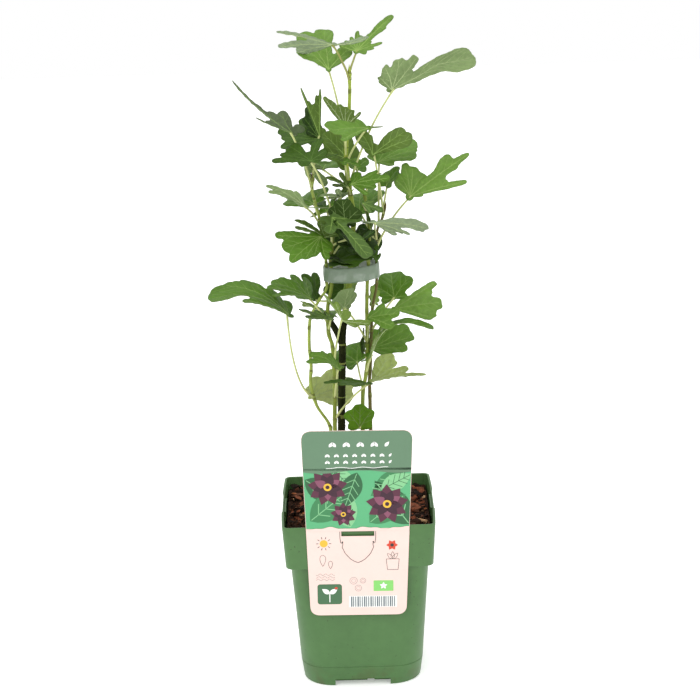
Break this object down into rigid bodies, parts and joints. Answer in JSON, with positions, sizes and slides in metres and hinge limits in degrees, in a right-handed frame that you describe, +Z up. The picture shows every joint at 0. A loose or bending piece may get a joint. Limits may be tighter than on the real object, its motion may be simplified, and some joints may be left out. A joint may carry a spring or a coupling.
{
  "type": "potted fig tree",
  "caption": "Young multi-stemmed fig plant with large lobed leaves on long stalks, in a square green nursery pot with bark potting mix, a plant card and a band round its shoots.",
  "frame": {"origin": "centre of the pot's flat underside", "axes": "+Z up, -Y towards the side with the plant card, +X to the right of it"},
  "size_m": [0.2322, 0.1419, 0.5705],
  "materials": {
    "pot_plastic": "satin moulded",
    "potting_mix": "rough bark and fibre",
    "card": "printed, semi-gloss",
    "band_plastic": "translucent, smooth",
    "bark": "bark",
    "green_stem": "smooth green bark",
    "foliage": "leaf"
  },
  "bodies": {
    "root": {"pot": "pot_plastic", "potting_mix": "potting_mix", "plant_card": "card", "band": "band_plastic", "trunk": "bark", "leader_stem": "green_stem", "left_shoot": "green_stem", "left_shoot_upper": "green_stem", "thin_shoot": "green_stem", "thin_shoot_upper": "green_stem", "right_shoot": "green_stem", "right_shoot_upper": "green_stem", "far_right_shoot": "green_stem", "far_right_upper": "green_stem", "leader_low": "foliage", "leader_upper": "foliage", "leader_top": "foliage", "left_low": "foliage", "left_mid": "foliage", "left_top": "foliage", "thin_low": "foliage", "thin_top": "foliage", "right_low": "foliage", "right_top": "foliage", "far_right_low": "foliage", "far_right_top": "foliage"}
  },
  "joints": []
}
